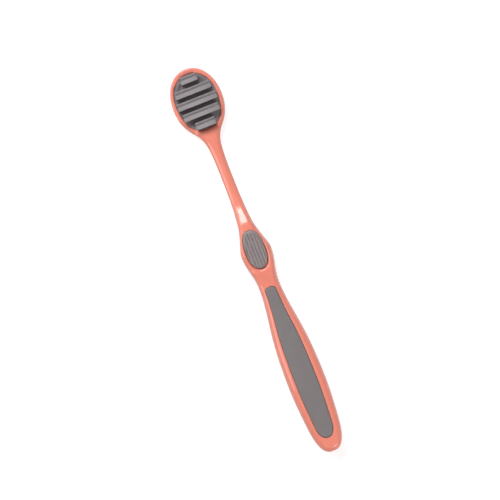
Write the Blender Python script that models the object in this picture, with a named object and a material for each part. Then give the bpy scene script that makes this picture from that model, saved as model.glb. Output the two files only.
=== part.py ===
"""Tongue cleaner: one rigid moulded body with three soft inserts on its front.

It lies on its back with the scraping face up. X runs across it, +Y points to
the head's tip and +Z comes out of the scraping face. The origin is on the
surface that it lies on, under the middle of its length. A distance is
measured along the body from the head's tip, and a height from its back.
"""

import math

import bmesh
import bpy
from mathutils import Vector

MM = 0.001

# Fits
CLEARANCE = 0.3 * MM  # all round a soft insert, in the pocket that holds it
CUT_MARGIN = 3.0 * MM  # how far a cutter stands out of the face that it cuts
WELD = 0.4 * MM  # how deep a bar, rib or key starts inside its own insert

# Body: lengths of its stretches, in order from the head's tip
HEAD_TIP_LENGTH = 15.3 * MM  # tip to the widest place of the head
HEAD_TAPER_LENGTH = 13.2 * MM  # on to the shoulders, at the tray's lower end
HEAD_ROOT_LENGTH = 7.9 * MM  # on to the top of the neck
NECK_UPPER_LENGTH = 14.0 * MM  # on to the slimmest place
NECK_LOWER_LENGTH = 22.1 * MM  # on to the foot of the thumb rest
THUMB_FOOT_LENGTH = 9.5 * MM  # on to the shoulders of the thumb rest
THUMB_CROWN_LENGTH = 4.4 * MM  # on to its widest place
THUMB_TAIL_LENGTH = 9.7 * MM  # on to where it narrows fastest
WAIST_LENGTH = 5.7 * MM  # on to the waist
GRIP_SWELL_LENGTH = 18.9 * MM  # on to where the handle widens fastest
GRIP_BELLY_LENGTH = 27.2 * MM  # on to its widest place
GRIP_END_LENGTH = 32.1 * MM  # on to the rounded end

# Body: widths, and how fast each side moves out at the places between them
HEAD_WIDTH = 22.8 * MM
HEAD_SHOULDER_WIDTH = 13.0 * MM
HEAD_SHOULDER_FLARE = -0.87
NECK_TOP_WIDTH = 6.0 * MM
NECK_TOP_FLARE = -0.12
NECK_WIDTH = 4.9 * MM
THUMB_FOOT_WIDTH = 6.86 * MM
THUMB_FOOT_FLARE = 0.13
THUMB_SHOULDER_WIDTH = 11.9 * MM
THUMB_SHOULDER_FLARE = 0.34
THUMB_WIDTH = 14.0 * MM
THUMB_TAIL_WIDTH = 10.8 * MM
THUMB_TAIL_FLARE = -0.23
WAIST_WIDTH = 9.5 * MM
GRIP_SWELL_WIDTH = 13.5 * MM
GRIP_SWELL_FLARE = 0.15
GRIP_WIDTH = 16.9 * MM
GRIP_END_WIDTH = 13.2 * MM
GRIP_END_FLARE = -0.02
GRIP_ROUND_LENGTH = 15.4 * MM  # the rounded last stretch of the handle
HEAD_FULLNESS = 2.1  # 2 is an ellipse, and more is squarer
GRIP_END_FULLNESS = 2.7

# Body: heights of its front
HEAD_SHOULDER_FRONT = 4.45 * MM
HEAD_SHOULDER_SLOPE = -0.02
NECK_FRONT = 4.25 * MM
RAMP_START_LENGTH = 7.0 * MM  # of the ramp before the foot of the thumb rest
RAMP_START_FRONT = 5.2 * MM
RAMP_START_SLOPE = 0.34
RAMP_FRONT = 8.05 * MM  # at the foot of the thumb rest
RAMP_SLOPE = 0.35
RAMP_CREST_LENGTH = 3.0 * MM  # from there to where the slope eases
RAMP_CREST_FRONT = 8.65 * MM
RAMP_CREST_SLOPE = 0.06
LIP_FRONT = 9.2 * MM  # the lip below the thumb pad
WAIST_FRONT = 8.5 * MM
GRIP_FRONT = 9.6 * MM
GRIP_END_FRONT = 8.2 * MM
GRIP_END_SLOPE = -0.06

# Body: heights of its back, which rests on the head and the handle
TIP_BACK = 0.5 * MM
NECK_BACK = 0.5 * MM
REST_LENGTH = 14.0 * MM  # flat back of the handle, past its widest place
GRIP_END_BACK = 1.3 * MM
GRIP_END_BACK_SLOPE = 0.08

# Body: rounding of its edges
PARTING_SHARE = 0.46  # height of the widest line, as a share of the thickness
RIM_ROUND = 0.95 * MM
NECK_ROUND = 2.3 * MM
RAMP_ROUND = 2.4 * MM
THUMB_FOOT_ROUND = 2.3 * MM
THUMB_ROUND = 2.0 * MM
GRIP_ROUND = 3.1 * MM
END_ROUND = 3.0 * MM
HEAD_BACK_ROUND = 4.5 * MM
THUMB_BACK_ROUND = 4.4 * MM
GRIP_BACK_ROUND = 5.2 * MM
ROUND_LIMIT = 0.93  # most of the half width that a rounding may take
GRIP_CROWN = 0.5 * MM  # how much the handle's front is domed across

# Tray in the head, and the pad and bars in it
RIM_WIDTH = 1.85 * MM  # between the tray and the sides of the head
RIM_TIP_WIDTH = 2.3 * MM  # between the tray and the tip
RIM_STAND = 1.2 * MM  # how far the rim stands above the middle of the pad
TRAY_SHIFT = 1.3 * MM  # its widest place lies this much nearer to the tip than the head's
TRAY_END_GAP = 0.1 * MM  # from its lower end to the shoulders
TRAY_UPPER_FULLNESS = 2.1
TRAY_LOWER_FULLNESS = 2.6
HEAD_WALL = 1.0 * MM  # left under the deepest sockets of the tray
PAD_THICKNESS = 1.3 * MM
PAD_EDGE_ROUND = 0.3 * MM
PAD_SHELF_WIDTH = 1.0 * MM  # level shelf along its edge
PAD_MARGIN_WIDTH = 2.8 * MM  # from its edge to where it has come down from the shelf
PAD_MARGIN_RISE = 0.7 * MM
BAR_PITCH = 5.2 * MM
BAR_WIDTH = 3.3 * MM
BAR_END_GAP = 0.4 * MM  # from a bar's corner to the tray's wall
BAR_TIP_GAP = 0.8 * MM  # least space between the first or last bar and the tray's ends
BAR_HEIGHT = 3.5 * MM  # scraping edge above the pad
BAR_EDGE_WIDTH = 0.2 * MM
LIP_HEIGHT = 3.4 * MM  # the blunt first lip above the pad
LIP_WIDTH = 0.7 * MM
LIP_ROUND = 0.2 * MM
GROOVE_HEIGHT = 2.85 * MM  # bottom of the groove between the two lips
GROOVE_PLACE = 1.45 * MM  # from the bar's side that faces the tip
BAR_SWEEP = 1.15  # 1 is a straight slope up to the edge, and more is hollower

# Thumb pad
THUMB_BORDER = 2.2 * MM  # between the pad and the sides of the thumb rest
THUMB_PAD_SHIFT = 0.5 * MM  # its widest place lies this much nearer to the tip than the rest's
THUMB_PAD_TOP_GAP = 3.7 * MM  # from the foot of the thumb rest to the pad
THUMB_PAD_END_GAP = 2.3 * MM  # from the pad to where the thumb rest narrows fastest
THUMB_PAD_UPPER_FULLNESS = 2.5
THUMB_PAD_LOWER_FULLNESS = 2.4
THUMB_POCKET_DEPTH = 2.2 * MM
THUMB_PAD_TOP_SINK = 0.5 * MM  # how far its upper end lies below the front
THUMB_PAD_MIDDLE_SINK = 0.2 * MM
THUMB_PAD_END_SINK = 0.6 * MM  # how far its lower end lies below the lip
THUMB_PAD_EDGE_ROUND = 0.6 * MM
RIB_PITCH = 1.38 * MM
RIB_WIDTH = 1.0 * MM
RIB_TOP_WIDTH = 0.4 * MM
RIB_HEIGHT = 0.45 * MM
RIB_FADE = 0.1 * MM  # how far a rib's ends dip under the pad
RIB_BORDER = 0.55 * MM  # plain border around the ribs

# Handle grip
INLAY_TOP_GAP = 0.6 * MM  # from the waist to its upper end
INLAY_END_GAP = 6.7 * MM  # from its lower end to the handle's
WAIST_BORDER = 2.1 * MM  # between the grip and the sides of the body
SWELL_BORDER = 2.8 * MM
GRIP_BORDER = 3.4 * MM
END_BORDER = 3.1 * MM
INLAY_TOP_ROUND = 1.8 * MM
INLAY_END_ROUND = 4.6 * MM
INLAY_FULLNESS = 2.4
INLAY_DEPTH = 2.0 * MM
INLAY_PROUD = 0.3 * MM
INLAY_EDGE_ROUND = 0.7 * MM

# Keys under the soft inserts, which lock them into the body
PAD_KEY_WIDTH = 3.0 * MM
PAD_KEY_LENGTH = 5.0 * MM
PAD_KEY_DEPTH = 0.7 * MM
PAD_KEY_SPACING = 10.0 * MM
THUMB_KEY_WIDTH = 3.4 * MM
THUMB_KEY_LENGTH = 9.0 * MM
THUMB_KEY_DEPTH = 1.6 * MM
INLAY_KEY_WIDTH = 3.6 * MM
INLAY_KEY_LENGTH = 36.0 * MM
INLAY_KEY_DEPTH = 2.0 * MM
KEY_FULLNESS = 3.0

# How finely curves are cut into straight steps
END_STEPS = 10
STRETCH_STEPS = 5
ROUND_STEPS = 4
EGG_STEPS = 14
INLAY_STEPS = 24
RIB_STEPS = 8
SWEEP_STEPS = 4
MARGIN_STEPS = 4
ACROSS_STEPS = 4
THUMB_ACROSS_STEPS = 6

CORAL = (0.90, 0.26, 0.19, 1.0)
GREY = (0.22, 0.195, 0.21, 1.0)

HEAD_AT = HEAD_TIP_LENGTH
HEAD_SHOULDER_AT = HEAD_AT + HEAD_TAPER_LENGTH
NECK_TOP_AT = HEAD_SHOULDER_AT + HEAD_ROOT_LENGTH
NECK_AT = NECK_TOP_AT + NECK_UPPER_LENGTH
THUMB_FOOT_AT = NECK_AT + NECK_LOWER_LENGTH
THUMB_SHOULDER_AT = THUMB_FOOT_AT + THUMB_FOOT_LENGTH
THUMB_AT = THUMB_SHOULDER_AT + THUMB_CROWN_LENGTH
THUMB_TAIL_AT = THUMB_AT + THUMB_TAIL_LENGTH
WAIST_AT = THUMB_TAIL_AT + WAIST_LENGTH
GRIP_SWELL_AT = WAIST_AT + GRIP_SWELL_LENGTH
GRIP_AT = GRIP_SWELL_AT + GRIP_BELLY_LENGTH
BODY_LENGTH = GRIP_AT + GRIP_END_LENGTH

TRAY_AT = HEAD_AT - TRAY_SHIFT
TRAY_START = RIM_TIP_WIDTH
TRAY_END = HEAD_SHOULDER_AT - TRAY_END_GAP
TRAY_WIDTH = HEAD_WIDTH - 2 * RIM_WIDTH
TRAY_FLOOR = HEAD_WALL + PAD_KEY_DEPTH + CLEARANCE
PAD_BOTTOM = TRAY_FLOOR + CLEARANCE
PAD_TOP = PAD_BOTTOM + PAD_THICKNESS
RIM_HEIGHT = PAD_TOP + RIM_STAND

THUMB_PAD_AT = THUMB_AT - THUMB_PAD_SHIFT
THUMB_PAD_START = THUMB_FOOT_AT + THUMB_PAD_TOP_GAP
THUMB_PAD_END = THUMB_TAIL_AT - THUMB_PAD_END_GAP
THUMB_PAD_WIDTH = THUMB_WIDTH - 2 * THUMB_BORDER

INLAY_START = WAIST_AT + INLAY_TOP_GAP
INLAY_END = BODY_LENGTH - INLAY_END_GAP


def curve(knots, distance):
    """Value at a distance on the smooth curve through (distance, value, slope) knots."""
    if distance <= knots[0][0]:
        return knots[0][1]
    for (start, low, low_slope), (end, high, high_slope) in zip(knots, knots[1:]):
        if distance <= end:
            span = end - start
            t = (distance - start) / span
            return (
                low * (1 + 2 * t) * (1 - t) ** 2
                + high * t * t * (3 - 2 * t)
                + span * t * (1 - t) * (low_slope * (1 - t) - high_slope * t)
            )
    return knots[-1][1]


def round_end(share, fullness):
    """Width left at a share of the way into a rounded end, from 0 at its tip to 1."""
    reach = 1 - min(max(share, 0.0), 1.0)
    return (1 - reach**fullness) ** (1 / fullness)


def full_half_width(distance):
    """Half width of the body without the rounding of its two ends."""
    return curve(
        (
            (HEAD_AT, HEAD_WIDTH / 2, 0),
            (HEAD_SHOULDER_AT, HEAD_SHOULDER_WIDTH / 2, HEAD_SHOULDER_FLARE),
            (NECK_TOP_AT, NECK_TOP_WIDTH / 2, NECK_TOP_FLARE),
            (NECK_AT, NECK_WIDTH / 2, 0),
            (THUMB_FOOT_AT, THUMB_FOOT_WIDTH / 2, THUMB_FOOT_FLARE),
            (THUMB_SHOULDER_AT, THUMB_SHOULDER_WIDTH / 2, THUMB_SHOULDER_FLARE),
            (THUMB_AT, THUMB_WIDTH / 2, 0),
            (THUMB_TAIL_AT, THUMB_TAIL_WIDTH / 2, THUMB_TAIL_FLARE),
            (WAIST_AT, WAIST_WIDTH / 2, 0),
            (GRIP_SWELL_AT, GRIP_SWELL_WIDTH / 2, GRIP_SWELL_FLARE),
            (GRIP_AT, GRIP_WIDTH / 2, 0),
            (BODY_LENGTH, GRIP_END_WIDTH / 2, GRIP_END_FLARE),
        ),
        distance,
    )


def half_width(distance):
    """Half width of the body's outline."""
    head = round_end(distance / HEAD_TIP_LENGTH, HEAD_FULLNESS)
    end = round_end((BODY_LENGTH - distance) / GRIP_ROUND_LENGTH, GRIP_END_FULLNESS)
    return full_half_width(distance) * head * end


def front(distance):
    """Height of the body's front, beside the rounding of its edges."""
    return curve(
        (
            (HEAD_AT, RIM_HEIGHT, 0),
            (HEAD_SHOULDER_AT, HEAD_SHOULDER_FRONT, HEAD_SHOULDER_SLOPE),
            (NECK_AT, NECK_FRONT, 0),
            (THUMB_FOOT_AT - RAMP_START_LENGTH, RAMP_START_FRONT, RAMP_START_SLOPE),
            (THUMB_FOOT_AT, RAMP_FRONT, RAMP_SLOPE),
            (THUMB_FOOT_AT + RAMP_CREST_LENGTH, RAMP_CREST_FRONT, RAMP_CREST_SLOPE),
            (THUMB_PAD_END, LIP_FRONT, 0),
            (WAIST_AT, WAIST_FRONT, 0),
            (GRIP_AT, GRIP_FRONT, 0),
            (BODY_LENGTH, GRIP_END_FRONT, GRIP_END_SLOPE),
        ),
        distance,
    )


def back(distance):
    """Height of the body's back."""
    return curve(
        (
            (0, TIP_BACK, 0),
            (HEAD_AT, 0, 0),
            (HEAD_SHOULDER_AT, 0, 0),
            (NECK_AT, NECK_BACK, 0),
            (THUMB_AT, NECK_BACK, 0),
            (GRIP_SWELL_AT, 0, 0),
            (GRIP_AT + REST_LENGTH, 0, 0),
            (BODY_LENGTH, GRIP_END_BACK, GRIP_END_BACK_SLOPE),
        ),
        distance,
    )


def parting(distance):
    """Height of the line where the body is widest, which its mould parts on."""
    low = back(distance)
    return low + PARTING_SHARE * (front(distance) - low)


def front_round(distance):
    """How far in from the outline the rounding of the front edge reaches."""
    wanted = curve(
        (
            (HEAD_SHOULDER_AT, RIM_ROUND, 0),
            (NECK_TOP_AT, NECK_ROUND, 0),
            (NECK_AT, NECK_ROUND, 0),
            (THUMB_FOOT_AT - RAMP_START_LENGTH, RAMP_ROUND, 0),
            (THUMB_FOOT_AT, THUMB_FOOT_ROUND, 0),
            (THUMB_AT, THUMB_ROUND, 0),
            (GRIP_AT, GRIP_ROUND, 0),
            (BODY_LENGTH, END_ROUND, 0),
        ),
        distance,
    )
    return min(wanted, ROUND_LIMIT * full_half_width(distance))


def back_round(distance):
    """How far in from the outline the rounding of the back edge reaches."""
    wanted = curve(
        (
            (HEAD_AT, HEAD_BACK_ROUND, 0),
            (NECK_TOP_AT, NECK_ROUND, 0),
            (NECK_AT, NECK_ROUND, 0),
            (THUMB_AT, THUMB_BACK_ROUND, 0),
            (GRIP_AT, GRIP_BACK_ROUND, 0),
            (BODY_LENGTH, END_ROUND, 0),
        ),
        distance,
    )
    return min(wanted, ROUND_LIMIT * full_half_width(distance))


def surface(x, distance):
    """Height of the body's front at a point, with its dome and its rounded edge."""
    base = front(distance)
    reach = front_round(distance)
    inside = half_width(distance) - abs(x)
    if inside < reach:
        low = parting(distance)
        share = 1 - max(inside, 0.0) / reach
        return low + (base - low) * math.sqrt(1 - share * share)
    dome = curve(((WAIST_AT, 0, 0), (GRIP_AT, GRIP_CROWN, 0), (BODY_LENGTH, 0, 0)), distance)
    share = abs(x) / (inside + abs(x) - reach) if x else 0.0
    return base + dome * (1 - share * share)


def body_edge():
    """Right side of the body's outline, from the tip to the end."""
    turns = [math.pi / 2 * step / END_STEPS for step in range(END_STEPS + 1)]
    places = [HEAD_TIP_LENGTH * (1 - math.cos(turn)) for turn in turns]
    stops = (
        HEAD_AT, HEAD_SHOULDER_AT, NECK_TOP_AT, NECK_AT, THUMB_FOOT_AT, THUMB_SHOULDER_AT,
        THUMB_AT, THUMB_TAIL_AT, WAIST_AT, GRIP_SWELL_AT, GRIP_AT, BODY_LENGTH - GRIP_ROUND_LENGTH,
    )
    for start, stop in zip(stops, stops[1:]):
        for step in range(1, STRETCH_STEPS + 1):
            places.append(start + (stop - start) * step / STRETCH_STEPS)
    places += [BODY_LENGTH - GRIP_ROUND_LENGTH * (1 - math.sin(turn)) for turn in turns[1:]]
    return [(half_width(place), place) for place in places]


def egg_edge(start, widest, end, width, fullness_above, fullness_below, grow=0.0):
    """Right side of an egg-shaped outline, grown on every side."""
    above, below = widest - start + grow, end - widest + grow
    edge = [(0.0, start - grow)]
    for step in range(1, 2 * EGG_STEPS):
        along = -math.cos(math.pi * step / (2 * EGG_STEPS))
        length, fullness = (above, fullness_above) if along < 0 else (below, fullness_below)
        side = (width / 2 + grow) * round_end(1 - abs(along), fullness)
        edge.append((side, widest + length * along))
    edge.append((0.0, end + grow))
    return edge


def tray_edge(grow=0.0):
    """Right side of the tray's outline."""
    return egg_edge(
        TRAY_START, TRAY_AT, TRAY_END, TRAY_WIDTH, TRAY_UPPER_FULLNESS, TRAY_LOWER_FULLNESS, grow
    )


def thumb_edge(grow=0.0):
    """Right side of the thumb pad's outline."""
    return egg_edge(
        THUMB_PAD_START, THUMB_PAD_AT, THUMB_PAD_END, THUMB_PAD_WIDTH,
        THUMB_PAD_UPPER_FULLNESS, THUMB_PAD_LOWER_FULLNESS, grow,
    )


def key_edge(middle, width, length, grow=0.0):
    """Right side of a key's outline, as long below its middle as above it."""
    start, end = middle - length / 2, middle + length / 2
    return egg_edge(start, middle, end, width, KEY_FULLNESS, KEY_FULLNESS, grow)


def inlay_edge(grow=0.0):
    """Right side of the handle grip's outline, inside the body's by its border."""
    borders = (
        (WAIST_AT, WAIST_BORDER, 0),
        (GRIP_SWELL_AT, SWELL_BORDER, (GRIP_BORDER - WAIST_BORDER) / (GRIP_AT - WAIST_AT)),
        (GRIP_AT, GRIP_BORDER, 0),
        (INLAY_END, END_BORDER, 0),
    )
    turns = [math.pi / 2 * step / EGG_STEPS for step in range(EGG_STEPS + 1)]
    places = [INLAY_START + INLAY_TOP_ROUND * (1 - math.cos(turn)) for turn in turns]
    first, last = places[-1], INLAY_END - INLAY_END_ROUND
    places += [first + (last - first) * step / INLAY_STEPS for step in range(1, INLAY_STEPS + 1)]
    places += [INLAY_END - INLAY_END_ROUND * (1 - math.sin(turn)) for turn in turns[1:]]
    edge = []
    for place in places:
        top = round_end((place - INLAY_START) / INLAY_TOP_ROUND, INLAY_FULLNESS)
        end = round_end((INLAY_END - place) / INLAY_END_ROUND, INLAY_FULLNESS)
        edge.append(((half_width(place) - curve(borders, place)) * top * end, place))
    return moved_in(edge, lambda distance: -grow)


def moved_in(edge, inset):
    """The same side of an outline, moved in along its normals by inset(distance)."""
    moved = []
    for index, (x, distance) in enumerate(edge):
        if index == 0:
            moved.append((0.0, distance + inset(distance)))
        elif index == len(edge) - 1:
            moved.append((0.0, distance - inset(distance)))
        else:
            before, after = Vector(edge[index - 1]), Vector(edge[index + 1])
            along = (after - before).normalized()
            step = inset(distance)
            if along.y > 0:
                step = min(step, ROUND_LIMIT * x / along.y)
            moved.append((x - along.y * step, distance + along.x * step))
    return moved


def point(x, distance, height):
    """Place in the model of a point of the body."""
    return Vector((x, BODY_LENGTH / 2 - distance, height))


def solid(name, rows, across=1):
    """Closed object through rows of (side, height function), from the lowest up.

    Every row is one side of a symmetric outline. The lowest and highest rows
    are closed by strips from side to side, cut into `across` steps.
    """
    bm = bmesh.new()
    loops = []
    for side, height in rows:
        right = [bm.verts.new(point(x, d, height(x, d))) for x, d in side]
        left = [bm.verts.new(point(-x, d, height(x, d))) for x, d in side[1:-1]]
        loops.append((right, left))
    for (right, left), (next_right, next_left) in zip(loops, loops[1:]):
        ring = right + left[::-1]
        next_ring = next_right + next_left[::-1]
        for index in range(len(ring)):
            after = (index + 1) % len(ring)
            bm.faces.new((ring[index], ring[after], next_ring[after], next_ring[index]))
    for (right, left), (side, height) in ((loops[0], rows[0]), (loops[-1], rows[-1])):
        lines = [[right[0]]]
        for (x, d), start, end in zip(side[1:-1], right[1:-1], left):
            inner = [x * (1 - 2 * step / across) for step in range(1, across)]
            middle = [bm.verts.new(point(place, d, height(place, d))) for place in inner]
            lines.append([start, *middle, end])
        lines.append([right[-1]])
        for line, following in zip(lines, lines[1:]):
            for index in range(across):
                corners = [line[min(index, len(line) - 1)], line[min(index + 1, len(line) - 1)]]
                corners.append(following[min(index + 1, len(following) - 1)])
                corners.append(following[min(index, len(following) - 1)])
                bm.faces.new(list(dict.fromkeys(corners)))
    return finished(name, bm)


def finished(name, bm):
    """Turns a closed bmesh into an object whose faces point outwards."""
    bmesh.ops.recalc_face_normals(bm, faces=bm.faces)
    mesh = bpy.data.meshes.new(name)
    bm.to_mesh(mesh)
    bm.free()
    made = bpy.data.objects.new(name, mesh)
    bpy.context.scene.collection.objects.link(made)
    return made


def prism(bm, section, start, end):
    """Adds a closed prism across the body, with a (distance, height) section."""
    near = [bm.verts.new(point(start, d, h)) for d, h in section]
    far = [bm.verts.new(point(end, d, h)) for d, h in section]
    bm.faces.new(near)
    bm.faces.new(far[::-1])
    for index in range(len(section)):
        after = (index + 1) % len(section)
        bm.faces.new((near[after], near[index], far[index], far[after]))


def combine(target, tool, operation):
    """Joins a tool to the target, or cuts it out, and hides the tool."""
    modifier = target.modifiers.new(tool.name, "BOOLEAN")
    modifier.operation = operation
    modifier.solver = "EXACT"
    modifier.object = tool
    tool.hide_render = True
    tool.display_type = "WIRE"


def level(height):
    """Height function of a flat row."""
    return lambda x, distance: height


def make_body():
    """Rigid body, as a stack of its own outline drawn in at the back and front."""
    edge = body_edge()
    turns = [math.pi / 2 * step / ROUND_STEPS for step in range(1, ROUND_STEPS + 1)]
    rows = [(edge, lambda x, distance: parting(distance))]
    for turn in turns:
        lift, draw = math.sin(turn), 1 - math.cos(turn)
        lower = moved_in(edge, lambda distance, draw=draw: draw * back_round(distance))
        upper = moved_in(edge, lambda distance, draw=draw: draw * front_round(distance))
        rows.insert(0, (lower, lambda x, d, lift=lift: parting(d) + lift * (back(d) - parting(d))))
        rows.append((upper, lambda x, d, lift=lift: parting(d) + lift * (front(d) - parting(d))))
    side, _ = rows[-1]
    rows[-1] = (side, surface)
    return solid("handle_body", rows, ACROSS_STEPS)


def insert_rows(edge, bottom, top, edge_round):
    """Rows of a soft insert: its wall, and the rounding of its top edge."""
    rows = [(edge, bottom), (edge, lambda x, d: top(x, d) - edge_round)]
    for turn in (math.pi / 4, math.pi / 2):
        drop, draw = edge_round * (1 - math.sin(turn)), edge_round * (1 - math.cos(turn))
        side = moved_in(edge, lambda distance, draw=draw: draw)
        rows.append((side, lambda x, d, drop=drop: top(x, d) - drop))
    return rows


def lock(insert, body, name, edges, bottom, depth):
    """Adds a key under an insert, and cuts its socket into the body."""
    key, socket = edges
    rows = [(key, lambda x, d: bottom(x, d) - depth), (key, lambda x, d: bottom(x, d) + WELD)]
    combine(insert, solid(f"{name}_form", rows), "UNION")
    rows = [(socket, lambda x, d: bottom(x, d) - depth - CLEARANCE), (socket, bottom)]
    combine(body, solid(f"{name}_socket_cutter", rows), "DIFFERENCE")


def cut_pocket(body, name, edge, floor, roof):
    """Cuts the pocket of an insert into the body."""
    rows = [(edge, floor), (edge, lambda x, d: roof(d) + CUT_MARGIN)]
    combine(body, solid(f"{name}_cutter", rows), "DIFFERENCE")


def bar_section(middle):
    """Section of a scraping bar: a blunt lip, a groove, and a hollow rise to the edge."""
    start = middle - BAR_WIDTH / 2
    end = middle + BAR_WIDTH / 2
    crest = end - BAR_EDGE_WIDTH
    section = [
        (start, PAD_TOP - WELD),
        (start, PAD_TOP + LIP_HEIGHT - LIP_ROUND),
        (start + LIP_ROUND, PAD_TOP + LIP_HEIGHT),
        (start + LIP_WIDTH, PAD_TOP + LIP_HEIGHT),
    ]
    groove = start + GROOVE_PLACE
    for step in range(SWEEP_STEPS + 1):
        t = step / SWEEP_STEPS
        rise = GROOVE_HEIGHT + (BAR_HEIGHT - GROOVE_HEIGHT) * t**BAR_SWEEP
        section.append((groove + (crest - groove) * t, PAD_TOP + rise))
    section.append((end, PAD_TOP + BAR_HEIGHT - BAR_EDGE_WIDTH / 2))
    section.append((end, PAD_TOP - WELD))
    return section


def tray_half_width(distance):
    """Half width of the tray at a distance."""
    if distance < TRAY_AT:
        share = (distance - TRAY_START) / (TRAY_AT - TRAY_START)
        return TRAY_WIDTH / 2 * round_end(share, TRAY_UPPER_FULLNESS)
    share = (TRAY_END - distance) / (TRAY_END - TRAY_AT)
    return TRAY_WIDTH / 2 * round_end(share, TRAY_LOWER_FULLNESS)


def make_scraper_pad(body):
    """Soft pad in the tray, with its scraping bars moulded on."""
    cut_pocket(body, "tray", tray_edge(), level(TRAY_FLOOR), front)
    edge = tray_edge(-CLEARANCE)
    rows = insert_rows(edge, level(PAD_BOTTOM), level(PAD_TOP + PAD_MARGIN_RISE), PAD_EDGE_ROUND)
    for step in range(MARGIN_STEPS + 1):
        share = step / MARGIN_STEPS
        draw = PAD_SHELF_WIDTH + (PAD_MARGIN_WIDTH - PAD_SHELF_WIDTH) * share
        side = moved_in(edge, lambda distance, draw=draw: draw)
        rows.append((side, level(PAD_TOP + PAD_MARGIN_RISE * (1 - share) ** 2 * (1 + 2 * share))))
    pad = solid("scraper_pad", rows)
    bm = bmesh.new()
    tray_middle = (TRAY_START + TRAY_END) / 2
    room = TRAY_END - TRAY_START - BAR_WIDTH - 2 * BAR_TIP_GAP
    count = 1 + int(room / BAR_PITCH)
    for number in range(count):
        middle = tray_middle + BAR_PITCH * (number - (count - 1) / 2)
        corners = (middle - BAR_WIDTH / 2, middle + BAR_WIDTH / 2)
        reach = min(tray_half_width(corner) for corner in corners) - BAR_END_GAP
        prism(bm, bar_section(middle), -reach, reach)
    combine(pad, finished("bars_form", bm), "UNION")
    for number in range(2):
        middle = tray_middle + PAD_KEY_SPACING * (number - 0.5)
        edges = [key_edge(middle, PAD_KEY_WIDTH, PAD_KEY_LENGTH, grow) for grow in (0.0, CLEARANCE)]
        lock(pad, body, f"pad_key_{number + 1}", edges, level(PAD_BOTTOM), PAD_KEY_DEPTH)
    return pad


def thumb_top(x, distance):
    """Height of the thumb pad, which sinks towards both its ends."""
    sinking = (
        (THUMB_PAD_START, THUMB_PAD_TOP_SINK, 0),
        (THUMB_PAD_AT, THUMB_PAD_MIDDLE_SINK, 0),
        (THUMB_PAD_END, THUMB_PAD_END_SINK, 0),
    )
    return surface(x, distance) - curve(sinking, distance)


def make_rib(bm, x, across):
    """Adds one lengthwise rib of the thumb pad, which fades out at its ends."""
    above = round_end(1 - abs(x) / across, THUMB_PAD_UPPER_FULLNESS)
    below = round_end(1 - abs(x) / across, THUMB_PAD_LOWER_FULLNESS)
    start = THUMB_PAD_AT - (THUMB_PAD_AT - THUMB_PAD_START - RIB_BORDER) * above
    end = THUMB_PAD_AT + (THUMB_PAD_END - THUMB_PAD_AT - RIB_BORDER) * below
    rings = []
    for step in range(RIB_STEPS + 1):
        share = step / RIB_STEPS
        d = start + (end - start) * share
        height = RIB_HEIGHT if 0 < step < RIB_STEPS else -RIB_FADE
        surface = thumb_top(x, d)
        corners = (
            (x - RIB_WIDTH / 2, surface - WELD),
            (x - RIB_TOP_WIDTH / 2, surface + height),
            (x + RIB_TOP_WIDTH / 2, surface + height),
            (x + RIB_WIDTH / 2, surface - WELD),
        )
        rings.append([bm.verts.new(point(side, d, h)) for side, h in corners])
    bm.faces.new(rings[0])
    bm.faces.new(rings[-1][::-1])
    for ring, following in zip(rings, rings[1:]):
        for index in range(len(ring)):
            after = (index + 1) % len(ring)
            bm.faces.new((ring[after], ring[index], following[index], following[after]))


def make_thumb_pad(body):
    """Soft ribbed pad on the thumb rest."""

    def floor(x, distance):
        return front(distance) - THUMB_POCKET_DEPTH

    def bottom(x, distance):
        return floor(x, distance) + CLEARANCE

    cut_pocket(body, "thumb_pocket", thumb_edge(CLEARANCE), floor, front)
    rows = insert_rows(thumb_edge(), bottom, thumb_top, THUMB_PAD_EDGE_ROUND)
    pad = solid("thumb_pad", rows, THUMB_ACROSS_STEPS)
    bm = bmesh.new()
    across = THUMB_PAD_WIDTH / 2 - RIB_BORDER
    beside = int(across / RIB_PITCH)
    for number in range(-beside, beside + 1):
        make_rib(bm, RIB_PITCH * number, across)
    combine(pad, finished("ribs_form", bm), "UNION")
    middle = (THUMB_PAD_START + THUMB_PAD_END) / 2
    edges = [key_edge(middle, THUMB_KEY_WIDTH, THUMB_KEY_LENGTH, grow) for grow in (0.0, CLEARANCE)]
    lock(pad, body, "thumb_key", edges, bottom, THUMB_KEY_DEPTH)
    return pad


def make_handle_grip(body):
    """Long soft inlay in the front of the handle."""

    def floor(x, distance):
        return front(distance) - INLAY_DEPTH

    def bottom(x, distance):
        return floor(x, distance) + CLEARANCE

    def top(x, distance):
        return surface(x, distance) + INLAY_PROUD

    cut_pocket(body, "grip_pocket", inlay_edge(CLEARANCE), floor, front)
    rows = insert_rows(inlay_edge(), bottom, top, INLAY_EDGE_ROUND)
    grip = solid("handle_grip", rows, ACROSS_STEPS)
    middle = (INLAY_START + INLAY_END) / 2
    edges = [key_edge(middle, INLAY_KEY_WIDTH, INLAY_KEY_LENGTH, grow) for grow in (0.0, CLEARANCE)]
    lock(grip, body, "grip_key", edges, bottom, INLAY_KEY_DEPTH)
    return grip


def material(name, colour, roughness):
    """Plastic with one colour and one roughness."""
    made = bpy.data.materials.new(name)
    made.use_nodes = True
    shader = made.node_tree.nodes["Principled BSDF"]
    shader.inputs["Base Color"].default_value = colour
    shader.inputs["Roughness"].default_value = roughness
    shader.inputs["Metallic"].default_value = 0.0
    return made


def dress(piece, finish):
    """Gives a piece its material and smooth shading with sharp edges kept."""
    piece.data.materials.append(finish)
    piece.data.shade_smooth()
    piece.data.set_sharp_from_angle(angle=math.radians(35))


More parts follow.
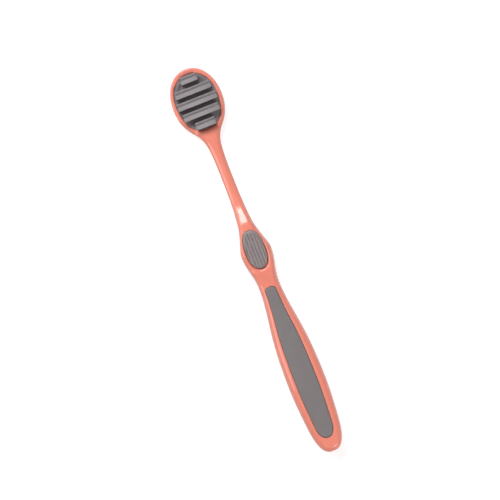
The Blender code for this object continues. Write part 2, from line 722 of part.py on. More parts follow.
def main():
    for old in list(bpy.data.objects):
        bpy.data.objects.remove(old)
    body = make_body()
    pad = make_scraper_pad(body)
    thumb = make_thumb_pad(body)
    grip = make_handle_grip(body)
    dress(body, material("coral_plastic", CORAL, 0.2))
    dress(pad, material("pad_elastomer", GREY, 0.6))
    dress(thumb, material("thumb_elastomer", GREY, 0.65))
    dress(grip, material("grip_elastomer", GREY, 0.65))


main()
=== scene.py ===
from math import cos, pi, radians, sin, sqrt, tan

import bmesh
import bpy
from mathutils import Matrix, Vector


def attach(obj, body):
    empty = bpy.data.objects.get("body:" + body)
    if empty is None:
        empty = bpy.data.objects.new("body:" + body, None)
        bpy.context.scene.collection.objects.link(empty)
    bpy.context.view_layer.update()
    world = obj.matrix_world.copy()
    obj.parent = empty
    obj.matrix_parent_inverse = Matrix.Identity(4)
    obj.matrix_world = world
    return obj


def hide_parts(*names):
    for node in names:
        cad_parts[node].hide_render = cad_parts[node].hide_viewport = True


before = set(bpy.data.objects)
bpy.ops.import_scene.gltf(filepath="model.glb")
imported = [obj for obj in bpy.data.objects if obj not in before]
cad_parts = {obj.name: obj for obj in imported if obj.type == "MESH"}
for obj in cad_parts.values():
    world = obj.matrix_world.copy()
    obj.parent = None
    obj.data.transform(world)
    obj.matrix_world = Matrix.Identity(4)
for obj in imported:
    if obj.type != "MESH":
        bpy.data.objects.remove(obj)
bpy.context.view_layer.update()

# Tongue cleaner: a rigid coral moulding with three soft grey inserts. X runs
# across it, +Y points to the head's tip and +Z comes out of the scraping face.
# Its sizes are in millimetres, and a distance is measured from the head's tip.
# The camera, the floor and the lamps are placed in metres.

# The camera stands almost straight over the cleaner, a little to its right,
# turned so that the head is at the upper left of the picture.
LENS = 100.0
VIEW_DISTANCE = 0.6105
VIEW_TARGET = Vector((-0.0022, 0.0055, 0.004))
VIEW_LEAN = radians(1.5)
PICTURE_UP = Vector((0.3642, 0.9313, 0.0))

lens = bpy.data.cameras.new("camera")
lens.lens = LENS
lens.clip_start, lens.clip_end = 0.01, 20.0
camera = bpy.data.objects.new("camera", lens)
bpy.context.scene.collection.objects.link(camera)
bpy.context.scene.camera = camera
behind = Vector((sin(VIEW_LEAN), 0.0, cos(VIEW_LEAN)))
upwards = (PICTURE_UP - behind * PICTURE_UP.dot(behind)).normalized()
turned = Matrix((upwards.cross(behind), upwards, behind)).transposed()
camera.matrix_world = Matrix.Translation(VIEW_TARGET + behind * VIEW_DISTANCE) @ turned.to_4x4()
bpy.context.scene.view_settings.view_transform = "Standard"

# The floor is a white studio table. The camera sees most of its white as its
# own, so that only the cleaner's faint shadow tones it, and it is clear from below.
FLOOR_SIZE = 3.0
FLOOR_DROP = 1e-5
FLOOR_OWN_WHITE = 0.78
FLOOR_SHADED_WHITE = 0.36
FLOOR_LIT_WHITE = 0.8


def node(tree, kind, inputs=None, **settings):
    """Adds a node to a tree, with its settings, and with its inputs set or linked."""
    made = tree.nodes.new(kind)
    for setting, value in settings.items():
        setattr(made, setting, value)
    for name, value in (inputs or {}).items():
        if isinstance(value, bpy.types.NodeSocket):
            tree.links.new(value, made.inputs[name])
        else:
            made.inputs[name].default_value = value
    return made


def background_seen(tree):
    """Share of rays that see the background as such: the camera's, mirrored or not."""
    ray = node(tree, "ShaderNodeLightPath").outputs
    seen = node(tree, "ShaderNodeMath", {0: ray["Is Camera Ray"], 1: ray["Is Glossy Ray"]},
                operation="MAXIMUM")
    return node(tree, "ShaderNodeMath", {0: seen.outputs[0], 1: ray["Is Transmission Ray"]},
                operation="MAXIMUM").outputs[0]


floor_finish = bpy.data.materials.new("white_table")
floor_finish.use_nodes = True
tree = floor_finish.node_tree
tree.nodes.clear()
own = node(tree, "ShaderNodeEmission", {"Color": (1, 1, 1, 1), "Strength": FLOOR_OWN_WHITE})
shaded = node(tree, "ShaderNodeBsdfDiffuse", {"Color": (FLOOR_SHADED_WHITE,) * 3 + (1,)})
white = node(tree, "ShaderNodeAddShader", {0: own.outputs[0], 1: shaded.outputs[0]})
table = node(tree, "ShaderNodeBsdfDiffuse", {"Color": (FLOOR_LIT_WHITE,) * 3 + (1,)})
top = node(tree, "ShaderNodeMixShader",
           {0: background_seen(tree), 1: table.outputs[0], 2: white.outputs[0]})
side = node(tree, "ShaderNodeNewGeometry")
clear = node(tree, "ShaderNodeBsdfTransparent")
both = node(tree, "ShaderNodeMixShader",
            {0: side.outputs["Backfacing"], 1: top.outputs[0], 2: clear.outputs[0]})
node(tree, "ShaderNodeOutputMaterial", {"Surface": both.outputs[0]})

half = FLOOR_SIZE / 2
floor_corners = [(-half, -half), (half, -half), (half, half), (-half, half)]
floor_mesh = bpy.data.meshes.new("white_table")
floor_mesh.from_pydata([(x, y, -FLOOR_DROP) for x, y in floor_corners], [], [(0, 1, 2, 3)])
floor_mesh.materials.append(floor_finish)
floor = bpy.data.objects.new("white_table", floor_mesh)
bpy.context.scene.collection.objects.link(floor)

# Light: a white room, three softboxes and a white card. The slope before the thumb
# pad mirrors the softbox beyond the head. The card at the left shows only in the
# gloss of the edges that face it and of the lip below the thumb pad.
ROOM_LIGHT = 0.09

world = bpy.data.worlds.new("white_room")
world.use_nodes = True
bpy.context.scene.world = world
tree = world.node_tree
tree.nodes.clear()
room = node(tree, "ShaderNodeBackground", {"Color": (1, 1, 1, 1), "Strength": ROOM_LIGHT})
beyond = node(tree, "ShaderNodeBackground", {"Color": (1, 1, 1, 1), "Strength": 1.0})
both = node(tree, "ShaderNodeMixShader",
            {0: background_seen(tree), 1: room.outputs[0], 2: beyond.outputs[0]})
node(tree, "ShaderNodeOutputWorld", {"Surface": both.outputs[0]})


def softbox(name, place, aim, width, length, brightness, spread=179):
    """Area lamp at a place, facing its aim, with its beam held to a spread in degrees."""
    half = radians(spread / 2)
    lamp = bpy.data.lights.new(name, "AREA")
    lamp.shape = "RECTANGLE"
    lamp.size, lamp.size_y = width, length
    lamp.energy = brightness * pi * width * length * (1 - half / tan(half))
    lamp.spread = radians(spread)
    made = bpy.data.objects.new(name, lamp)
    bpy.context.scene.collection.objects.link(made)
    facing = (Vector(place) - Vector(aim)).normalized()
    across = Vector((0, 1, 0)).cross(facing).normalized()
    turned = Matrix((across, facing.cross(across), facing)).transposed()
    made.matrix_world = Matrix.Translation(place) @ turned.to_4x4()
    return made


softbox(
    "head_softbox", place=(-0.03, 0.95, 0.86), aim=(0, 0, 0),
    width=0.44, length=0.34, brightness=19.0,
)
softbox(
    "head_left_softbox", place=(-0.60, 0.82, 0.72), aim=(0, 0, 0),
    width=1.30, length=0.30, brightness=6.3,
)
softbox(
    "handle_softbox", place=(0.20, -0.60, 0.42), aim=(0, -0.07, 0),
    width=0.50, length=0.30, brightness=12.0, spread=50,
)
card = softbox(
    "left_card", place=(-0.82, 0.12, 0.57), aim=(0, 0.12, 0),
    width=0.90, length=0.60, brightness=4.5,
)
card.visible_diffuse = False

# Handle body: the rigid part, injection moulded in one piece from glossy coral
# plastic, from the oval head to the rounded end. The two halves of its mould
# part along its widest line. Its three pockets hold the soft inserts.
MM = 0.001
LENGTH = 180.0
HEAD_AT, SHOULDER_AT, NECK_TOP_AT, NECK_AT = 15.3, 28.5, 36.4, 50.4
THUMB_FOOT_AT, THUMB_SHOULDER_AT, THUMB_AT, THUMB_TAIL_AT = 72.5, 82.0, 86.4, 96.1
SLOPE_AT, SLOPE_TOP_AT = THUMB_FOOT_AT - 7.0, THUMB_FOOT_AT + 3.0
THUMB_LIP_AT = 93.8
WAIST_AT, SWELL_AT, GRIP_AT = 101.8, 120.7, 147.9
LAND_END_AT = GRIP_AT + 14.0
END_ROUND_LENGTH = 15.4
HEAD_FULLNESS, END_FULLNESS = 2.1, 2.7
# A knot is a distance, the value that the curve has there, and its slope.
SIDE_KNOTS = (
    (HEAD_AT, 11.4, 0), (SHOULDER_AT, 6.5, -0.87), (NECK_TOP_AT, 3.0, -0.12), (NECK_AT, 2.45, 0),
    (THUMB_FOOT_AT, 3.43, 0.13), (THUMB_SHOULDER_AT, 5.95, 0.34), (THUMB_AT, 7.0, 0),
    (THUMB_TAIL_AT, 5.4, -0.23), (WAIST_AT, 4.75, 0), (SWELL_AT, 6.75, 0.15), (GRIP_AT, 8.45, 0),
    (LENGTH, 6.6, -0.02),
)
FRONT_KNOTS = (
    (HEAD_AT, 4.8, 0), (SHOULDER_AT, 4.45, -0.02), (NECK_AT, 4.25, 0),
    (SLOPE_AT, 5.2, 0.34), (THUMB_FOOT_AT, 8.05, 0.35), (SLOPE_TOP_AT, 8.65, 0.06),
    (THUMB_LIP_AT, 9.2, 0), (WAIST_AT, 8.5, 0), (GRIP_AT, 9.6, 0), (LENGTH, 8.2, -0.06),
)
BACK_KNOTS = (
    (0, 0.5, 0), (HEAD_AT, 0, 0), (SHOULDER_AT, 0, 0), (NECK_AT, 0.5, 0), (THUMB_AT, 0.5, 0),
    (SWELL_AT, 0, 0), (LAND_END_AT, 0, 0), (LENGTH, 1.3, 0.08),
)
FRONT_ROUND_KNOTS = (
    (SHOULDER_AT, 0.95, 0), (NECK_TOP_AT, 2.3, 0), (NECK_AT, 2.3, 0),
    (SLOPE_AT, 2.05, 0), (THUMB_FOOT_AT, 2.0, 0), (THUMB_AT, 2.0, 0),
    (GRIP_AT, 3.1, 0), (LENGTH, 3.0, 0),
)
BACK_ROUND_KNOTS = (
    (HEAD_AT, 4.5, 0), (NECK_TOP_AT, 2.3, 0), (NECK_AT, 2.3, 0), (THUMB_AT, 4.4, 0),
    (GRIP_AT, 5.2, 0), (LENGTH, 3.0, 0),
)
CROWN_KNOTS = ((WAIST_AT, 0, 0), (GRIP_AT, 0.5, 0), (LENGTH, 0, 0))
PARTING_SHARE = 0.46
ROUND_LIMIT = 0.93
SLOPE_REACH = 0.05
BODY_STEP = 0.5
END_STEPS = 44
SEAM_RISE = 0.03
MERGE_DISTANCE = 0.002
SHARP_ANGLE = radians(35)


def curve(knots, distance):
    """Value at a distance on the smooth curve through (distance, value, slope) knots."""
    if distance <= knots[0][0]:
        return knots[0][1]
    for (start, low, low_slope), (end, high, high_slope) in zip(knots, knots[1:]):
        if distance <= end:
            span = end - start
            t = (distance - start) / span
            return (
                low * (1 + 2 * t) * (1 - t) ** 2
                + high * t * t * (3 - 2 * t)
                + span * t * (1 - t) * (low_slope * (1 - t) - high_slope * t)
            )
    return knots[-1][1]


def round_end(share, fullness):
    """Width left at a share of the way into a rounded end, from 0 at its tip to 1."""
    reach = 1 - min(max(share, 0.0), 1.0)
    return (1 - reach**fullness) ** (1 / fullness)


def half_width(distance):
    """Half width of the body's outline."""
    head = round_end(distance / HEAD_AT, HEAD_FULLNESS)
    end = round_end((LENGTH - distance) / END_ROUND_LENGTH, END_FULLNESS)
    return curve(SIDE_KNOTS, distance) * head * end


def rounding(knots, distance):
    """How far in from the outline the rounding of an edge reaches."""
    return min(curve(knots, distance), ROUND_LIMIT * curve(SIDE_KNOTS, distance))


def parting(distance):
    """Height of the line where the body is widest."""
    low = curve(BACK_KNOTS, distance)
    return low + PARTING_SHARE * (curve(FRONT_KNOTS, distance) - low)


def surface(x, distance):
    """Height of the body's front at a point, with its crown and its rounded edge."""
    base = curve(FRONT_KNOTS, distance)
    reach = rounding(FRONT_ROUND_KNOTS, distance)
    side = half_width(distance)
    before, after = half_width(distance - SLOPE_REACH), half_width(distance + SLOPE_REACH)
    slope = (after - before) / (2 * SLOPE_REACH)
    inside = (side - abs(x)) / sqrt(1 + slope * slope)
    if inside < reach:
        low = parting(distance)
        share = 1 - max(inside, 0.0) / reach
        return low + (base - low) * sqrt(1 - share * share)
    share = abs(x) / (side - reach)
    return base + curve(CROWN_KNOTS, distance) * (1 - share * share) ** 2


def place(x, distance, height):
    """Point of the model, in metres, from its place on the cleaner."""
    return Vector((x, LENGTH / 2 - distance, height)) * MM


def inward(edge):
    """Unit direction into the outline at each point of its right side."""
    found = []
    for index in range(len(edge)):
        if index in (0, len(edge) - 1):
            found.append(Vector((0.0, -1.0 if index else 1.0)))
        else:
            along = (Vector(edge[index + 1]) - Vector(edge[index - 1])).normalized()
            found.append(Vector((-along.y, along.x)))
    return found


def moved_in(edge, inset):
    """Right side of an outline, moved in along its normals by inset(distance)."""
    moved = [
        Vector(spot) + direction * inset(spot[1]) for spot, direction in zip(edge, inward(edge))
    ]
    return [(max(spot.x, 0.0), spot.y) for spot in moved]


def shell(name, rows, across):
    """Closed mesh through rows of (side, height rule), its last filled with faces across."""
    bm = bmesh.new()
    loops = []
    for side, height in rows:
        right = [bm.verts.new(place(x, d, height(x, d))) for x, d in side]
        left = [bm.verts.new(place(-x, d, height(x, d))) for x, d in side[1:-1]]
        loops.append((right, left))
    for (right, left), (next_right, next_left) in zip(loops, loops[1:]):
        ring, next_ring = right + left[::-1], next_right + next_left[::-1]
        for index in range(len(ring)):
            after = (index + 1) % len(ring)
            bm.faces.new((ring[index], ring[after], next_ring[after], next_ring[index]))
    caps = ((loops[0], rows[0], 1), (loops[-1], rows[-1], across))
    for (right, left), (side, height), columns in caps:
        lines = [[right[0]] * (columns + 1)]
        for (x, d), start, end in zip(side[1:-1], right[1:-1], left):
            inner = [x * (1 - 2 * step / columns) for step in range(1, columns)]
            middle = [bm.verts.new(place(spot, d, height(spot, d))) for spot in inner]
            lines.append([start, *middle, end])
        lines.append([right[-1]] * (columns + 1))
        for line, following in zip(lines, lines[1:]):
            for index in range(columns):
                corners = line[index : index + 2] + following[index : index + 2][::-1]
                bm.faces.new(list(dict.fromkeys(corners)))
    bmesh.ops.recalc_face_normals(bm, faces=bm.faces)
    mesh = bpy.data.meshes.new(name)
    bm.to_mesh(mesh)
    bm.free()
    return mesh


def shown_object(name, mesh):
    """Object in the scene that shows a mesh where it is."""
    made = bpy.data.objects.new(name, mesh)
    bpy.context.scene.collection.objects.link(made)
    return made


def settled(piece):
    """Turns the result of a piece's modifiers into its plain mesh."""
    evaluated = piece.evaluated_get(bpy.context.evaluated_depsgraph_get())
    mesh = bpy.data.meshes.new_from_object(evaluated)
    piece.modifiers.clear()
    piece.data = mesh
    return piece


def joined(piece, other, operation):
    """Joins another object to a piece, or cuts it out of it, and removes the other."""
    modifier = piece.modifiers.new(other.name, "BOOLEAN")
    modifier.operation, modifier.solver, modifier.object = operation, "EXACT", other
    settled(piece)
    bpy.data.objects.remove(other)


class Value:
    """A number in a Geometry Nodes tree, so that a rule is written as it is said."""

    def __init__(self, recipe, socket):
        self.recipe, self.socket = recipe, socket

    def __add__(self, other):
        return self.recipe.math("ADD", self, other)

    def __sub__(self, other):
        return self.recipe.math("SUBTRACT", self, other)

    def __rsub__(self, other):
        return self.recipe.math("SUBTRACT", other, self)

    def __mul__(self, other):
        return self.recipe.math("MULTIPLY", self, other)

    def __truediv__(self, other):
        return self.recipe.math("DIVIDE", self, other)

    def __pow__(self, other):
        return self.recipe.math("POWER", self, other)


class Recipe:
    """A Geometry Nodes tree with named sizes, written from its input to its result."""

    def __init__(self, name, sizes):
        self.tree = bpy.data.node_groups.new(name, "GeometryNodeTree")
        self.sizes = sizes
        panel = self.tree.interface
        panel.new_socket("Geometry", in_out="OUTPUT", socket_type="NodeSocketGeometry")
        panel.new_socket("Geometry", in_out="INPUT", socket_type="NodeSocketGeometry")
        for title, size in sizes.items():
            kind = "NodeSocketInt" if isinstance(size, int) else "NodeSocketFloat"
            panel.new_socket(title, in_out="INPUT", socket_type=kind)
        self.start = self.tree.nodes.new("NodeGroupInput")
        self.given = self.start.outputs["Geometry"]

    def node(self, kind, inputs=None, **settings):
        """Adds a node to the tree, with sockets, values or plain numbers as its inputs."""
        plain = {key: getattr(value, "socket", value) for key, value in (inputs or {}).items()}
        return node(self.tree, kind, plain, **settings)

    def math(self, operation, *values):
        """Value that a math node makes from others."""
        made = self.node("ShaderNodeMath", dict(enumerate(values)), operation=operation)
        return Value(self, made.outputs[0])

    def size(self, title):
        """Value of a named size."""
        return Value(self, self.start.outputs[title])

    def within(self, value):
        """Value held between 0 and 1."""
        return self.math("MINIMUM", self.math("MAXIMUM", value, 0.0), 1.0)

    def parts(self, vector):
        """Values of a vector along X, Y and Z."""
        split = self.node("ShaderNodeSeparateXYZ", {"Vector": vector})
        return [Value(self, split.outputs[axis]) for axis in "XYZ"]

    def vector(self, x, y, z):
        """Vector made from its three values."""
        return self.node("ShaderNodeCombineXYZ", {"X": x, "Y": y, "Z": z}).outputs[0]

    def grown(self, name, base, geometry, finish):
        """Plain object that the recipe makes from a base mesh, in its finish."""
        real = self.node("GeometryNodeRealizeInstances", {"Geometry": geometry})
        dressed = self.node(
            "GeometryNodeSetMaterial", {"Geometry": real.outputs[0], "Material": finish}
        )
        self.node("NodeGroupOutput", {"Geometry": dressed.outputs[0]})
        piece = shown_object(name, base)
        modifier = piece.modifiers.new(self.tree.name, "NODES")
        modifier.node_group = self.tree
        for item in self.tree.interface.items_tree:
            if item.in_out == "INPUT" and item.name in self.sizes:
                modifier[item.identifier] = self.sizes[item.name]
        return settled(piece)


def smooth(piece):
    """Smooth shading, with the edges that turn by more than the sharp angle kept."""
    piece.data.shade_smooth()
    piece.data.set_sharp_from_angle(angle=SHARP_ANGLE)


CORAL_DEEP, CORAL_PALE = (0.88, 0.245, 0.172, 1), (0.94, 0.285, 0.204, 1)
CORAL_ROUGHNESS_LOW, CORAL_ROUGHNESS_HIGH = 0.13, 0.19

coral = bpy.data.materials.new("glossy_coral_plastic")
coral.use_nodes = True
tree = coral.node_tree
shader = tree.nodes["Principled BSDF"]
shader.inputs["Specular IOR Level"].default_value = 0.38
spot = node(tree, "ShaderNodeTexCoord").outputs["Object"]
drawn = node(tree, "ShaderNodeMapping", {"Vector": spot, "Scale": (1.0, 0.25, 1.0)}).outputs[0]
flow = node(tree, "ShaderNodeTexNoise", {"Vector": drawn, "Scale": 160.0, "Detail": 3.0})
tint = node(
    tree, "ShaderNodeMix", {0: flow.outputs[0], 6: CORAL_DEEP, 7: CORAL_PALE}, data_type="RGBA"
)
tree.links.new(tint.outputs[2], shader.inputs["Base Color"])
haze = node(tree, "ShaderNodeTexNoise", {"Vector": spot, "Scale": 420.0, "Detail": 4.0})
gloss = node(tree, "ShaderNodeMapRange", {
    "Value": haze.outputs[0], "From Min": 0.3, "From Max": 0.7,
    "To Min": CORAL_ROUGHNESS_LOW, "To Max": CORAL_ROUGHNESS_HIGH,
})
tree.links.new(gloss.outputs[0], shader.inputs["Roughness"])
peel = node(tree, "ShaderNodeTexNoise", {"Vector": spot, "Scale": 1500.0, "Detail": 2.0})
bump = node(
    tree, "ShaderNodeBump", {"Height": peel.outputs[0], "Strength": 0.01, "Distance": 0.0002}
)
tree.links.new(bump.outputs[0], shader.inputs["Normal"])

# The outline's stations lie close together towards its two rounded ends.
turns = [pi / 2 * step / END_STEPS for step in range(END_STEPS + 1)]
stops = [HEAD_AT * (1 - cos(turn)) for turn in turns]
reach = LENGTH - END_ROUND_LENGTH - HEAD_AT
steps = round(reach / BODY_STEP)
stops += [HEAD_AT + reach * step / steps for step in range(1, steps + 1)]
stops += [LENGTH - END_ROUND_LENGTH * (1 - sin(turn)) for turn in turns[1:]]
outline = [(half_width(stop), stop) for stop in stops]
outline_mesh = bpy.data.meshes.new("handle_body")
outline_mesh.from_pydata([place(x, d, parting(d)) for x, d in outline], [], [])
directions = outline_mesh.attributes.new("inward", "FLOAT_VECTOR", "POINT")
for index, direction in enumerate(inward(outline)):
    directions.data[index].vector = (direction.x, -direction.y, 0.0)
rules = {
    "front": lambda d, inwards: curve(
        FRONT_KNOTS, d + inwards.y * rounding(FRONT_ROUND_KNOTS, d)
    ),
    "back": lambda d, inwards: curve(BACK_KNOTS, d + inwards.y * rounding(BACK_ROUND_KNOTS, d)),
    "front_round": lambda d, inwards: rounding(FRONT_ROUND_KNOTS, d),
    "back_round": lambda d, inwards: rounding(BACK_ROUND_KNOTS, d),
    "crown": lambda d, inwards: curve(CROWN_KNOTS, d),
}
for title, rule in rules.items():
    values = [rule(d, inwards) * MM for (x, d), inwards in zip(outline, inward(outline))]
    outline_mesh.attributes.new(title, "FLOAT", "POINT").data.foreach_set("value", values)

# At each station the columns of a sheet run from the middle of the back, round the
# right side, to the middle of the front. The sheet and its mirror image are joined.
loft = Recipe(
    "moulded_body", {"Steps across": 6, "Steps round": 10, "Seam rise": SEAM_RISE * MM}
)
across, around = loft.size("Steps across"), loft.size("Steps round")
columns = (across + around) * 2 + 1
stations = loft.node("GeometryNodeAttributeDomainSize", {"Geometry": loft.given})
sheet = loft.node("GeometryNodeMeshGrid", {
    "Vertices X": stations.outputs["Point Count"], "Vertices Y": columns,
})
number = Value(loft, loft.node("GeometryNodeInputIndex").outputs[0])
station = loft.math("FLOOR", (number + 0.5) / columns)
column = number - station * columns


def along(title, kind="FLOAT"):
    """Value that the outline carries at the station of a point of the body."""
    if title == "position":
        source = loft.node("GeometryNodeInputPosition").outputs[0]
    else:
        named = loft.node("GeometryNodeInputNamedAttribute", {"Name": title}, data_type=kind)
        source = named.outputs[0]
    found = loft.node("GeometryNodeSampleIndex", data_type=kind)
    loft.tree.links.new(loft.given, found.inputs["Geometry"])
    loft.tree.links.new(source, found.inputs["Value"])
    loft.tree.links.new(station.socket, found.inputs["Index"])
    return Value(loft, found.outputs["Value"])


out_x, out_y, out_z = loft.parts(along("position", "FLOAT_VECTOR"))
in_x, in_y = loft.parts(along("inward", "FLOAT_VECTOR"))[:2]
back_turn = loft.within((across + around - column) / around) * (pi / 2)
front_turn = loft.within((column - across - around) / around) * (pi / 2)
inset = along("back_round") * (1 - loft.math("COSINE", back_turn))
inset = inset + along("front_round") * (1 - loft.math("COSINE", front_turn))
inset = inset - loft.math("COMPARE", column, across + around, 0.1) * loft.size("Seam rise")
share = loft.within(loft.math("MINIMUM", column, columns - 1 - column) / across)
bulge = along("crown") * loft.math("SINE", front_turn) * (1 - share * share) ** 2.0
rise = loft.math("SINE", front_turn) * (along("front") - out_z) + bulge
rise = rise - loft.math("SINE", back_turn) * (out_z - along("back"))
spots = loft.vector((out_x + inset * in_x) * share, out_y + inset * in_y, out_z + rise)
bent = loft.node("GeometryNodeSetPosition", {"Geometry": sheet.outputs["Mesh"], "Position": spots})
right = bent.outputs[0]
left = loft.node("GeometryNodeTransform", {"Geometry": right, "Scale": (-1, 1, 1)}).outputs[0]
left = loft.node("GeometryNodeFlipFaces", {"Mesh": left}).outputs[0]
halves = loft.node("GeometryNodeJoinGeometry", {"Geometry": right})
loft.tree.links.new(left, halves.inputs[0])
whole = loft.node("GeometryNodeMergeByDistance", {
    "Geometry": halves.outputs[0], "Distance": MERGE_DISTANCE * MM,
})
body = loft.grown("handle_body_moulding", outline_mesh, whole.outputs[0], coral)

# The three pockets are the tray in the head, the thumb rest's and the handle's.
TRAY_START, TRAY_WIDEST, TRAY_END, TRAY_WIDTH = 2.3, 14.0, 28.4, 19.5
TRAY_FULLNESS_ABOVE, TRAY_FULLNESS_BELOW = 2.1, 2.6
TRAY_FLOOR = 2.0
TRAY_LIP_KNOTS = ((4.0, 0.7, 0), (HEAD_AT, 0.35, 0), (21.0, 0.8, 0.08), (SHOULDER_AT, 1.4, 0))
THUMB_PAD_START, THUMB_PAD_WIDEST, THUMB_PAD_END, THUMB_PAD_WIDTH = 76.1, 87.5, 94.8, 10.1
THUMB_FULLNESS_ABOVE, THUMB_FULLNESS_BELOW = 2.4, 2.2
THUMB_POCKET_DEPTH = 2.2
THUMB_LIP_KNOTS = ((79.0, 0.3, 0), (87.0, 1.0, 0.1), (THUMB_PAD_END, 1.6, 0))
GRIP_START, GRIP_END = 102.4, 173.3
GRIP_TOP_ROUND, GRIP_END_ROUND, GRIP_FULLNESS = 1.8, 4.6, 2.4
GRIP_BORDER_SLOPE = 1.3 / 46.1
GRIP_BORDER_KNOTS = (
    (WAIST_AT, 2.1, 0), (SWELL_AT, 2.8, GRIP_BORDER_SLOPE), (GRIP_AT, 3.4, 0),
    (GRIP_END, 3.1, 0),
)
GRIP_POCKET_DEPTH = 2.0
GRIP_LIP_KNOTS = ((GRIP_AT, 0.3, 0), (GRIP_END, 0.5, 0))
GRIP_END_STEPS, GRIP_SIDE_STEPS = 30, 110
LIP_TURNS = (0, 15, 30, 45, 60, 75)
LIP_INSIDE_SHARE, LIP_RISE_SHARE = 0.5, 0.25
CUT_ABOVE_FRONT = 3.0


def egg_edge(start, widest, end, width, above_fullness, below_fullness, steps=40):
    """Right side of an egg-shaped outline."""
    edge = [(0.0, start)]
    for step in range(1, 2 * steps):
        way = -cos(pi * step / (2 * steps))
        length, fullness = widest - start, above_fullness
        if way > 0:
            length, fullness = end - widest, below_fullness
        edge.append((width / 2 * round_end(1 - abs(way), fullness), widest + length * way))
    edge.append((0.0, end))
    return edge


def cut_pocket(body, name, edge, floor, lip_knots):
    """Cuts a pocket whose lip is rounded where it meets the front."""

    def lip(distance):
        return curve(lip_knots, distance)

    edge = moved_in(edge, lambda d: LIP_INSIDE_SHARE * lip(d))
    rows = [(edge, floor)]
    for turn in LIP_TURNS:
        out, drop = 1 - cos(radians(turn)), 1 - sin(radians(turn))
        side = moved_in(edge, lambda d, out=out: -out * lip(d))
        rows.append((side, lambda x, d, drop=drop: surface(x, d) - drop * lip(d)))
    wide = moved_in(edge, lambda d: -lip(d) * (2 - cos(radians(LIP_TURNS[-1]))))
    rows.append((wide, lambda x, d: surface(x, d) + LIP_RISE_SHARE * lip(d)))
    rows.append((wide, lambda x, d: surface(x, d) + CUT_ABOVE_FRONT))
    cutter = shown_object(name, shell(name, rows, across=2))
    cutter.data.materials.append(coral)
    joined(body, cutter, "DIFFERENCE")


tray = egg_edge(
    TRAY_START, TRAY_WIDEST, TRAY_END, TRAY_WIDTH, TRAY_FULLNESS_ABOVE, TRAY_FULLNESS_BELOW
)
cut_pocket(body, "tray_cutter", tray, lambda x, d: TRAY_FLOOR, TRAY_LIP_KNOTS)
thumb_outline = egg_edge(
    THUMB_PAD_START, THUMB_PAD_WIDEST, THUMB_PAD_END, THUMB_PAD_WIDTH,
    THUMB_FULLNESS_ABOVE, THUMB_FULLNESS_BELOW,
)
cut_pocket(
    body, "thumb_pocket_cutter", thumb_outline,
    lambda x, d: curve(FRONT_KNOTS, d) - THUMB_POCKET_DEPTH, THUMB_LIP_KNOTS,
)
turns = [pi / 2 * step / GRIP_END_STEPS for step in range(GRIP_END_STEPS + 1)]
stops = [GRIP_START + GRIP_TOP_ROUND * (1 - cos(turn)) for turn in turns]
reach = GRIP_END - GRIP_END_ROUND - stops[-1]
for step in range(1, GRIP_SIDE_STEPS + 1):
    stops.append(GRIP_START + GRIP_TOP_ROUND + reach * step / GRIP_SIDE_STEPS)
stops += [GRIP_END - GRIP_END_ROUND * (1 - sin(turn)) for turn in turns[1:]]
grip_outline = []
for stop in stops:
    top_end = round_end((stop - GRIP_START) / GRIP_TOP_ROUND, GRIP_FULLNESS)
    low_end = round_end((GRIP_END - stop) / GRIP_END_ROUND, GRIP_FULLNESS)
    border = curve(GRIP_BORDER_KNOTS, stop)
    grip_outline.append(((half_width(stop) - border) * top_end * low_end, stop))
cut_pocket(
    body, "grip_pocket_cutter", grip_outline,
    lambda x, d: curve(FRONT_KNOTS, d) - GRIP_POCKET_DEPTH, GRIP_LIP_KNOTS,
)
smooth(body)
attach(body, "root")
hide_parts("handle_body")

# Scraper pad: a satin grey elastomer plate that fills the tray, moulded in one
# piece with five cross bars. Each bar has a blunt first lip, a groove and a
# hollow rise to its scraping edge, and is almost as long as the tray is wide.
PAD_BOTTOM, PAD_TOP = 2.05, 3.6
PAD_BEVEL = 0.05
WALL_GAP = 0.04
PAD_MARGIN_INSETS = (0, 0.08, 0.16, 0.3, 0.7, 1.1, 1.4, 1.7, 2.0, 2.3, 2.55, 2.8)
PAD_MARGIN_KNOTS = ((0, 0.6, 2.0), (0.3, 0.7, 0), (1.1, 0.65, -0.12), (2.8, 0, 0))
PAD_MARGIN_SHARE_KNOTS = ((5.0, 1.15, 0), (13.0, 1.0, 0), (22.0, 0.3, 0))
BAR_COUNT, BAR_PITCH, BAR_WIDTH = 5, 5.2, 3.3
BAR_MIDDLE = 15.35
BAR_REACH, BAR_END_GAP = 0.96, 0.25
BAR_ROOT = -0.4
BAR_PROFILE_POINTS, BAR_PROFILE_STEP = 41, 0.078
BAR_PROFILE_KNOTS = (
    (0.0, 3.1, 1.5), (0.3, 3.4, 0.05), (0.7, 3.38, -0.2), (1.1, 3.05, -1.1), (1.45, 2.85, 0),
    (1.75, 2.93, 0.4), (3.12, 3.44, 0.45),
)
BAR_SCRAPING_EDGE = ((3.27, 3.5), (BAR_WIDTH, 3.46))
MOTTLE_DARK, MOTTLE_LIGHT, RUBBED_SPREAD = 0.93, 1.07, 0.04


